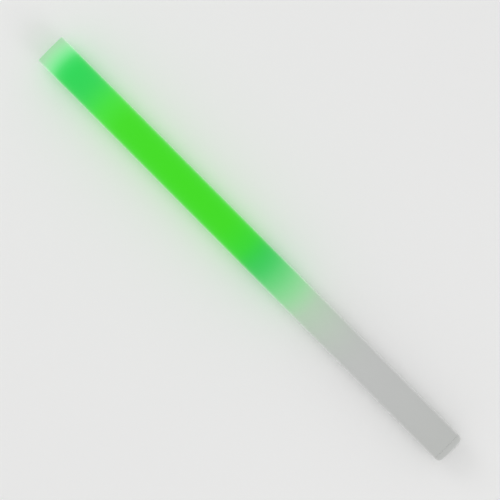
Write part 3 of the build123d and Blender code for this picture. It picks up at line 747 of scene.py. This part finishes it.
def make_bare_metal():
    """Rolling lines, stains and worn edges of a plated or rolled metal."""
    inputs = [
        ("Bright", "Color", (0.7, 0.7, 0.7, 1)),
        ("Stain", "Color", (0.4, 0.4, 0.4, 1)),
        ("Line", "Float", 0.15),
        ("Stretch", "Float", 20.0),
        ("Edge", "Float", 0.0001),
        ("Gloss Low", "Float", 0.2),
        ("Gloss High", "Float", 0.4),
    ]
    outputs = [("Colour", "Color"), ("Roughness", "Float"), ("Height", "Float")]
    tree, given, result = new_group("bare metal", inputs, outputs)
    drawn = drawn_out(tree, given.outputs["Stretch"])
    fineness = maths(tree, "DIVIDE", MILLIMETRES, given.outputs["Line"])
    lines = add_node(tree, "TexNoise", Vector=drawn, Scale=fineness, Detail=3)
    blotch = add_node(
        tree, "TexNoise", Vector=body_place(tree), Scale=1 / STAIN_SIZE, Detail=4
    )
    stain = add_node(tree, "MapRange", Value=blotch.outputs["Fac"], From_Min=0.5, From_Max=0.75)
    shape = add_node(tree, "NewGeometry")
    rim = add_node(tree, "Bevel", samples=4, Radius=given.outputs["Edge"])
    turn = add_node(tree, "VectorMath", operation="DOT_PRODUCT")
    tree.links.new(rim.outputs["Normal"], turn.inputs[0])
    tree.links.new(shape.outputs["Normal"], turn.inputs[1])
    worn = add_node(tree, "MapRange", Value=turn.outputs["Value"], From_Min=0.99, From_Max=0.85)
    unworn = maths(tree, "SUBTRACT", 1, worn.outputs["Result"])
    kept = maths(tree, "MULTIPLY", stain.outputs["Result"], unworn)
    colour = laid_over(tree, kept, given.outputs["Bright"], given.outputs["Stain"])
    gloss = add_node(
        tree,
        "MapRange",
        Value=maths(tree, "MAXIMUM", lines.outputs["Fac"], kept),
        To_Min=given.outputs["Gloss Low"],
        To_Max=given.outputs["Gloss High"],
    )
    tree.links.new(colour, result.inputs["Colour"])
    tree.links.new(gloss.outputs["Result"], result.inputs["Roughness"])
    tree.links.new(lines.outputs["Fac"], result.inputs["Height"])
    return tree


bare_metal = make_bare_metal()


def metal(name, bright, stain, gloss, line, stretch=1, edge=RIM_WEAR):
    """A metal with rolling lines along X, its line width in millimetres."""
    material, tree, shader = new_material(name, Metallic=1)
    skin = add_node(
        tree,
        "Group",
        node_tree=bare_metal,
        Bright=(*bright, 1),
        Stain=(*stain, 1),
        Line=line,
        Stretch=stretch,
        Edge=edge,
        Gloss_Low=gloss - RUBBED,
        Gloss_High=gloss + DULLED,
    )
    feed_skin(tree, shader, skin, LINE_DEPTH)
    return material


give_material(metal("zinc screw", ZINC, ZINC_STAIN, gloss=0.3, line=0.1), "tray_screws")


# Control board and switch board. Glass fibre under green solder mask. Narrow tracks run along
# and across them in blocks and show as raised lighter lines, with tinned holes in some blocks.

MASK_GREEN = (0.010, 0.105, 0.040)
MASK_OVER_TRACK = (0.025, 0.200, 0.070)
TRACK_PITCH = 0.0011
TRACK_BLOCK = 0.0055
TRACK_HALF = 0.19  # half a track's width, as a share of the pitch
TRACK_BLUR = 0.08
HOLE_SQUARE = 0.05  # the square of a tinned hole's radius, as a share of the pitch
HOLE_BLUR = 0.02
HOLE_CHANCE = 0.2  # the share of blocks that have holes


def make_fine_tracks():
    """Masks of narrow tracks, which turn from block to block, and of the holes between them."""
    inputs = [
        ("Along", "Float", 0.0),
        ("Across", "Float", 0.0),
        ("Pitch", "Float", 0.001),
        ("Block", "Float", 0.005),
    ]
    tree, given, result = new_group("fine tracks", inputs, [("Copper", "Float"), ("Hole", "Float")])
    lines = []
    cells = []
    for way in ("Along", "Across"):
        pitches = maths(tree, "DIVIDE", given.outputs[way], given.outputs["Pitch"])
        blocks = maths(tree, "DIVIDE", given.outputs[way], given.outputs["Block"])
        lines.append(maths(tree, "SUBTRACT", maths(tree, "FRACT", pitches), 0.5))
        cells.append(maths(tree, "FLOOR", blocks))
    cell = add_node(tree, "CombineXYZ", X=cells[0], Y=cells[1])
    chance = add_node(tree, "TexWhiteNoise", noise_dimensions="3D", Vector=cell.outputs["Vector"])
    turned = maths(tree, "GREATER_THAN", chance.outputs["Value"], 0.5)
    stay = maths(tree, "MULTIPLY", lines[1], maths(tree, "SUBTRACT", 1, turned))
    line = maths(tree, "ADD", stay, maths(tree, "MULTIPLY", lines[0], turned))
    copper = mask_under(tree, line, TRACK_HALF, TRACK_BLUR)
    square = maths(tree, "ADD", *(maths(tree, "POWER", part, 2) for part in lines))
    here = maths(tree, "GREATER_THAN", chance.outputs["Value"], 1 - HOLE_CHANCE)
    hole = maths(tree, "MULTIPLY", mask_under(tree, square, HOLE_SQUARE, HOLE_BLUR), here)
    tree.links.new(copper, result.inputs["Copper"])
    tree.links.new(hole, result.inputs["Hole"])
    return tree


fine_tracks = make_fine_tracks()


def green_board(name, face, along, across):
    """A green circuit board whose face looks along one axis. Along and across name the others."""
    material, tree, shader = new_material(name)
    axes = dict(zip("XYZ", body_axes(tree)))
    tracks = add_node(
        tree,
        "Group",
        node_tree=fine_tracks,
        Along=axes[along],
        Across=axes[across],
        Pitch=TRACK_PITCH,
        Block=TRACK_BLOCK,
    )
    mask = laid_over(tree, tracks.outputs["Copper"], MASK_GREEN, MASK_OVER_TRACK)
    sawn_board(tree, shader, face, mask, tracks.outputs["Copper"], tracks.outputs["Hole"])
    return material


give_material(green_board("green control board", (0, 0, 1), "X", "Y"), "control_board")
give_material(green_board("green switch board", (1, 0, 0), "Y", "Z"), "switch_board")


# Parts on the control board: the controller in black epoxy on tinned legs, a ferrite inductor
# with its round core showing, two electrolytic capacitors and two rows of chip resistors.

PIN_MARK_RADIUS = 0.0004
PIN_MARK_INSET = 0.0008
LEG_WEAR = 0.00004
CORE_RADIUS = 0.0027
CORE_GAP = 0.0002
CAN_STRIPE = 0.45  # half the pale stripe's width, in radians
STRIPE_BLUR = 0.05
CAN_LID = 0.82  # the bare lid's share of the can's radius
CAN_GLOSS = 0.4
LID_GLOSS = 0.3
VENT_WIDTH = 0.0002
VENT_DEPTH = 0.00008
CHIP_ROW_PITCH = 0.003
CHIP_ROW_LENGTH = 0.002
EPOXY_BLACK = (0.018, 0.018, 0.019)
MARK_GREY = (0.06, 0.06, 0.06)
TINNED_STAIN = (0.50, 0.50, 0.48)
FERRITE = (0.035, 0.035, 0.038)
FERRITE_CORE = (0.075, 0.075, 0.080)
CORE_SHADOW = (0.01, 0.01, 0.01)
SLEEVE_BLACK = (0.015, 0.016, 0.020)
SLEEVE_STRIPE = (0.45, 0.46, 0.48)
ALUMINIUM = (0.78, 0.78, 0.79)

epoxy, epoxy_tree, epoxy_skin, epoxy_shader = moulded(
    "black epoxy", EPOXY_BLACK, grain=0.1, gloss=0.5, clouds=1.5, shade=0.15, depth=0.000004
)
chip_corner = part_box("control_chip")[0]
epoxy_x, epoxy_y, _ = body_axes(epoxy_tree)
mark_place = (chip_corner.x + PIN_MARK_INSET, chip_corner.y + PIN_MARK_INSET)
mark_distance = far_from(epoxy_tree, epoxy_x, epoxy_y, *mark_place)
mark = mask_under(epoxy_tree, mark_distance, PIN_MARK_RADIUS, SHARP_BLUR)
mark_colour = laid_over(epoxy_tree, mark, epoxy_skin.outputs["Colour"], MARK_GREY)
feed(epoxy_tree, epoxy_shader, 0, Base_Color=mark_colour)
give_material(epoxy, "control_chip")
tinned_legs = metal("tinned legs", TINNED, TINNED_STAIN, gloss=0.28, line=0.06, edge=LEG_WEAR)
give_material(tinned_legs, "chip_legs", "switch_pins")

ferrite, ferrite_tree, ferrite_skin, ferrite_shader = moulded(
    "ferrite", FERRITE, grain=0.12, gloss=0.45, clouds=3, shade=0.2
)
coil_low, coil_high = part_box("inductor")
coil_middle = (coil_low + coil_high) / 2
ferrite_x, ferrite_y, _ = body_axes(ferrite_tree)
core_distance = far_from(ferrite_tree, ferrite_x, ferrite_y, coil_middle.x, coil_middle.y)
core_edge = maths(ferrite_tree, "SUBTRACT", core_distance, CORE_RADIUS)
core = mask_under(ferrite_tree, core_distance, CORE_RADIUS, SHARP_BLUR)
core_ring = mask_under(ferrite_tree, core_edge, CORE_GAP / 2, SHARP_BLUR)
ferrite_colour = laid_over(ferrite_tree, core, ferrite_skin.outputs["Colour"], FERRITE_CORE)
ferrite_colour = laid_over(ferrite_tree, core_ring, ferrite_colour, CORE_SHADOW)
feed(ferrite_tree, ferrite_shader, 0, Base_Color=ferrite_colour)
give_material(ferrite, "inductor")

can_low, can_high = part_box("capacitors")
can_radius = (can_high.x - can_low.x) / 2
can_x = (can_low.x + can_high.x) / 2
can_y = can_high.y - can_radius
can_sleeve, can_tree, can_shader = new_material("capacitor sleeve")
sleeve_x, sleeve_y, _ = body_axes(can_tree)
from_x = maths(can_tree, "SUBTRACT", sleeve_x, can_x)
from_y = maths(can_tree, "SUBTRACT", maths(can_tree, "ABSOLUTE", sleeve_y), can_y)
can_angle = maths(can_tree, "ARCTAN2", from_y, from_x)
stripe = mask_under(can_tree, can_angle, CAN_STRIPE, STRIPE_BLUR)
print_colour = laid_over(can_tree, stripe, SLEEVE_BLACK, SLEEVE_STRIPE)
can_distance = far_from(can_tree, from_x, from_y)
lid = mask_under(can_tree, can_distance, can_radius * CAN_LID, PRINT_BLUR)
vent_lines = [
    mask_under(can_tree, value, VENT_WIDTH / 2, PRINT_BLUR) for value in (from_x, from_y)
]
vent = maths(can_tree, "MULTIPLY", maths(can_tree, "MAXIMUM", *vent_lines), lid)
feed(
    can_tree,
    can_shader,
    -VENT_DEPTH,
    Base_Color=laid_over(can_tree, lid, print_colour, ALUMINIUM),
    Metallic=lid,
    Roughness=maths(can_tree, "MULTIPLY_ADD", lid, LID_GLOSS - CAN_GLOSS, CAN_GLOSS),
    Height=vent,
)
give_material(can_sleeve, "capacitors")

first_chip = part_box("control_resistors")[0].x + CHIP_ROW_LENGTH / 2
chip_row = chip_resistor("control resistor", first_chip, CHIP_ROW_PITCH, CHIP_ROW_LENGTH)
give_material(chip_row, "control_resistors")


# Leads. Stranded copper in glossy PVC, red on the switched side and black on the return, cut
# to length and soldered by hand.

LEADS = (
    ("red insulation", (0.46, 0.012, 0.010), ("battery_lead", "led_lead_left")),
    ("black insulation", (0.014, 0.014, 0.015), ("return_lead", "led_lead_right")),
)

for lead_finish, lead_colour, lead_names in LEADS:
    insulation, *_ = moulded(
        lead_finish, lead_colour, grain=0.3, gloss=0.33, clouds=3, shade=0.12
    )
    give_material(insulation, *lead_names)


# Battery tube, with the return strip in its groove and the contact riveted through its end
# wall. The tube is moulded in black plastic, the strip and contact are nickel plated.

BATTERY_BLACK = (0.018, 0.018, 0.019)
NICKEL = (0.68, 0.65, 0.60)
NICKEL_STAIN = (0.46, 0.42, 0.35)

battery_plastic, *_ = moulded(
    "black battery tube", BATTERY_BLACK, grain=0.3, gloss=0.5, clouds=12, shade=0.2, depth=0.00003
)
give_material(battery_plastic, "battery_tube")
nickel = metal("nickel plate", NICKEL, NICKEL_STAIN, gloss=0.3, line=0.1, stretch=25)
give_material(nickel, "return_strip", "front_contact", "tail_contact")


# Cells. Drawn steel cans with bare plated ends, each in a plain shrunk sleeve: slate blue with
# a pale ring at the end that carries the nub.

CELL_COUNT = 3
RING_PLACE = 0.006
RING_WIDTH = 0.003
CELL_STEEL = (0.66, 0.66, 0.64)
CELL_STAIN = (0.48, 0.47, 0.43)
SLEEVE_BLUE = (0.075, 0.130, 0.200)
SLEEVE_RING = (0.62, 0.64, 0.62)

cell_steel = metal("plated can", CELL_STEEL, CELL_STAIN, gloss=0.26, line=0.2)
give_material(cell_steel, *(f"cell_{number + 1}" for number in range(CELL_COUNT)))

last_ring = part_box("cell_sleeves")[1].x - RING_PLACE
cell_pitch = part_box("cell_2")[0].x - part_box("cell_1")[0].x
first_ring = last_ring - (CELL_COUNT - 1) * cell_pitch
cell_jacket, jacket_tree, jacket_skin, jacket_shader = moulded(
    "cell sleeve",
    SLEEVE_BLUE,
    grain=0.4,
    gloss=0.33,
    clouds=6,
    shade=0.08,
    stretch=8,
    Coat_Weight=0.4,
    Coat_Roughness=0.2,
)
ring_offset = place_in_row(jacket_tree, first_ring, cell_pitch)
pale_ring = mask_under(jacket_tree, ring_offset, RING_WIDTH / 2, PRINT_BLUR)
jacket_colour = laid_over(jacket_tree, pale_ring, jacket_skin.outputs["Colour"], SLEEVE_RING)
feed(jacket_tree, jacket_shader, 0, Base_Color=jacket_colour)
give_material(cell_jacket, "cell_sleeves")


# Grip liner and tail bush. The liner is thin white pipe that hides the cells. The bush is
# moulded in natural nylon and carries the female thread.

LINER_WHITE = (0.76, 0.76, 0.75)
NATURAL_NYLON = (0.70, 0.69, 0.64)

liner_pipe, *_ = moulded(
    "white liner",
    LINER_WHITE,
    grain=0.3,
    gloss=0.5,
    clouds=14,
    shade=0.04,
    depth=0.00002,
    stretch=10,
)
give_material(liner_pipe, "grip_liner")
bush_nylon, *_ = moulded(
    "nylon bush", NATURAL_NYLON, grain=0.35, gloss=0.38, clouds=8, shade=0.05
)
give_material(bush_nylon, "tail_bush")


# Switch housing and what goes with it: the latching switch and its plunger, the nose cap and
# the seals. The housing slides in the battery tube, so its skin is smoother than the tube's.

HOUSING_BLACK = (0.020, 0.020, 0.021)
SWITCH_BLACK = (0.012, 0.012, 0.013)
PLUNGER_WHITE = (0.74, 0.74, 0.71)
RUBBER_BLACK = (0.016, 0.016, 0.017)
RUBBER_BLOOM = (0.055, 0.055, 0.054)
BLOOM_PATCHES = 260  # to a metre

housing_plastic, *_ = moulded(
    "black housing", HOUSING_BLACK, grain=0.3, gloss=0.42, clouds=7, shade=0.2, depth=0.00002
)
give_material(housing_plastic, "switch_housing", "nose_cap")
switch_plastic, *_ = moulded(
    "black switch", SWITCH_BLACK, grain=0.15, gloss=0.5, clouds=4, shade=0.2
)
give_material(switch_plastic, "switch_body")
plunger_plastic, *_ = moulded(
    "white plunger", PLUNGER_WHITE, grain=0.2, gloss=0.35, clouds=3, shade=0.04
)
give_material(plunger_plastic, "switch_plunger")

seal_rubber, seal_tree, seal_skin, seal_shader = moulded(
    "seal rubber", RUBBER_BLACK, grain=0.15, gloss=0.62, clouds=3, shade=0.15
)
bloom = add_node(
    seal_tree, "TexNoise", Vector=body_place(seal_tree), Scale=BLOOM_PATCHES, Detail=5
)
dusty = add_node(seal_tree, "MapRange", Value=bloom.outputs["Fac"], From_Min=0.48, From_Max=0.72)
seal_colour = laid_over(
    seal_tree, dusty.outputs["Result"], seal_skin.outputs["Colour"], RUBBER_BLOOM
)
feed(seal_tree, seal_shader, 0, Base_Color=seal_colour)
give_material(seal_rubber, "housing_seal", "collar_gasket")


# Springs, leaf and retaining ring. The springs are wound from plated music wire, the leaf is
# rolled bronze and the ring is blued spring steel. The button's spring is a new piece with
# closed ends, because it shortens as the button goes in.

BUTTON_WIRE = 0.0006
BUTTON_TURNS = 5
CLOSED_TURNS = 0.7  # wound close at each end, so that the spring stands square
TURN_STEPS = 40
WIRE_STEPS = 12
WIRE_WEAR = 0.00005
WIRE_STEEL = (0.62, 0.62, 0.60)
WIRE_STAIN = (0.40, 0.38, 0.34)
LEAF_BRONZE = (0.66, 0.44, 0.24)
LEAF_STAIN = (0.40, 0.24, 0.12)
RING_BLUE = (0.20, 0.21, 0.24)
RING_STAIN = (0.09, 0.09, 0.10)


def coil_mesh(name, start, end, radius, wire, turns):
    """A round-wire spring about the baton's axis, with closed ends, from start to end."""
    work = bmesh.new()
    closed_rise = wire * CLOSED_TURNS
    open_rise = end - start - wire - 2 * closed_rise
    steps = round(turns * TURN_STEPS)
    centres = []
    for step in range(steps + 1):
        turn = turns * step / steps
        low_part = min(turn, CLOSED_TURNS)
        high_part = max(turn - (turns - CLOSED_TURNS), 0)
        middle_part = turn - low_part - high_part
        rise = (low_part + high_part) * wire + open_rise * middle_part / (turns - 2 * CLOSED_TURNS)
        angle = 2 * math.pi * turn
        outward = Vector((0, math.sin(angle), math.cos(angle)))
        middle = Vector((start + wire / 2 + rise, 0, axis_height)) + radius * outward
        centres.append((middle, outward))
    rings = []
    for step, (middle, outward) in enumerate(centres):
        before = centres[max(step - 1, 0)][0]
        after = centres[min(step + 1, steps)][0]
        sideways = (after - before).cross(outward).normalized()
        ring = []
        for number in range(WIRE_STEPS):
            angle = 2 * math.pi * number / WIRE_STEPS
            offset = outward * math.cos(angle) + sideways * math.sin(angle)
            ring.append(work.verts.new(middle + offset * wire / 2))
        rings.append(ring)
    for near, far in zip(rings, rings[1:]):
        for number in range(WIRE_STEPS):
            after = (number + 1) % WIRE_STEPS
            work.faces.new((near[number], near[after], far[after], far[number]))
    work.faces.new(rings[0][::-1])
    work.faces.new(rings[-1])
    return smooth_mesh(name, work)


spring_wire = metal(
    "spring wire", WIRE_STEEL, WIRE_STAIN, gloss=0.26, line=0.05, edge=WIRE_WEAR
)
give_material(spring_wire, "tail_spring")
spring_low, spring_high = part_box("button_spring")
spring_radius = (spring_high.y - spring_low.y - BUTTON_WIRE) / 2
button_coil = add_piece(
    "button_coil",
    coil_mesh(
        "button coil", spring_low.x, spring_high.x, spring_radius, BUTTON_WIRE, BUTTON_TURNS
    ),
    "switch_carrier",
    "spring_steel",
    spring_wire,
    "button_spring",
)
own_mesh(button_coil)
bronze = metal("bronze leaf", LEAF_BRONZE, LEAF_STAIN, gloss=0.28, line=0.08, stretch=20)
give_material(bronze, "return_leaf")
blued_steel = metal("blued ring", RING_BLUE, RING_STAIN, gloss=0.34, line=0.1)
give_material(blued_steel, "retaining_ring")


# Tail collar. Moulded in the same milky plastic as the tube, but unlit. Its two-start thread
# and spigot are smooth from the mould, and its rounded rim has the tube's satin finish.

collar_plastic, *_ = moulded(
    "milky collar",
    TAIL_WHITE,
    grain=0.3,
    gloss=MILKY_GLOSS,
    clouds=25,
    shade=0.03,
    depth=MILKY_DEPTH,
    **MILKY_SHEEN,
)
give_material(collar_plastic, "tail_collar")


# Push button. Moulded in the same white with a duller skin, and its dish is rubbed smooth
# where the thumb presses it.

BUTTON_GLOSS = 0.45
THUMB_GLOSS = 0.33
THUMB_REACH = 0.005
THUMB_FADE = 0.003

button_plastic, button_tree, button_skin, button_shader = moulded(
    "milky button",
    TAIL_WHITE,
    grain=0.3,
    gloss=BUTTON_GLOSS,
    clouds=5,
    shade=0.04,
    depth=MILKY_DEPTH,
    **MILKY_SHEEN,
)
_, button_y, button_z = body_axes(button_tree)
thumb_distance = far_from(button_tree, button_y, button_z, 0, axis_height)
rubbed = mask_under(button_tree, thumb_distance, THUMB_REACH, THUMB_FADE)
rubbed_less = maths(button_tree, "MULTIPLY", rubbed, BUTTON_GLOSS - THUMB_GLOSS)
button_gloss = maths(button_tree, "SUBTRACT", button_skin.outputs["Roughness"], rubbed_less)
feed(button_tree, button_shader, 0, Roughness=button_gloss)
give_material(button_plastic, "button_cap")


# Floor, light and camera. A pale board fills the view. A white dome that is a little brighter
# towards the horizon gives most of the light, and a soft light beyond each end the rest.

FLOOR_REACH = 20
FLOOR_CORNERS = [(-1, -1), (1, -1), (1, 1), (-1, 1)]
FLOOR_COLOUR = (0.93, 0.93, 0.925)
DOME_TOP = (0.62, 0.62, 0.62)
DOME_RIM = (0.90, 0.90, 0.90)
LIGHT_OUT = 1.5
LIGHT_UP = 1.3
LIGHT_SIZE = 1.2
LIGHT_POWER = 5
CAMERA_LENS = 800
CAMERA_REACH = 200
VIEW_WIDTH = 0.4745
VIEW_TURN = math.radians(225.1)
VIEW_MIDDLE = (0.0007, 0.0005)

floor_points = [(x * FLOOR_REACH, y * FLOOR_REACH, 0) for x, y in FLOOR_CORNERS]
floor_mesh = bpy.data.meshes.new("floor")
floor_mesh.from_pydata(floor_points, [], [range(len(floor_points))])
floor = bpy.data.objects.new("floor", floor_mesh)
bpy.context.scene.collection.objects.link(floor)
floor_paint, *_ = moulded(
    "pale board", FLOOR_COLOUR, grain=3, gloss=0.7, clouds=200, shade=0.01, depth=0.00005
)
floor_mesh.materials.append(floor_paint)

world = bpy.data.worlds.new("studio")
world.use_nodes = True
dome = world.node_tree
dome_place = add_node(dome, "TexCoord")
dome_axes = add_node(dome, "SeparateXYZ", Vector=dome_place.outputs["Generated"])
dome_light = colour_band(dome, dome_axes.outputs["Z"], [(0, DOME_RIM), (1, DOME_TOP)])
dome.links.new(dome_light, dome.nodes["Background"].inputs["Color"])
bpy.context.scene.world = world


def soft_light(name, place):
    """A square soft light that looks at the baton and that the camera doesn't see."""
    lamp = bpy.data.lights.new(name, "AREA")
    lamp.shape = "SQUARE"
    lamp.size = LIGHT_SIZE
    lamp.energy = LIGHT_POWER
    light = bpy.data.objects.new(name, lamp)
    light.location = place
    light.rotation_euler = (-Vector(place)).to_track_quat("-Z", "Y").to_euler()
    light.visible_camera = False
    bpy.context.scene.collection.objects.link(light)


soft_light("light beyond the tail", (-LIGHT_OUT, 0, LIGHT_UP))
soft_light("light beyond the head", (LIGHT_OUT, 0, LIGHT_UP))

lens = bpy.data.cameras.new("camera")
lens.lens = CAMERA_LENS
lens.clip_end = CAMERA_REACH
camera = bpy.data.objects.new("camera", lens)
camera_height = VIEW_WIDTH * CAMERA_LENS / lens.sensor_width
camera.location = (*VIEW_MIDDLE, axis_height + camera_height)
camera.rotation_euler = (0, 0, VIEW_TURN)
bpy.context.scene.collection.objects.link(camera)
bpy.context.scene.camera = camera
bpy.context.scene.view_settings.view_transform = "Standard"
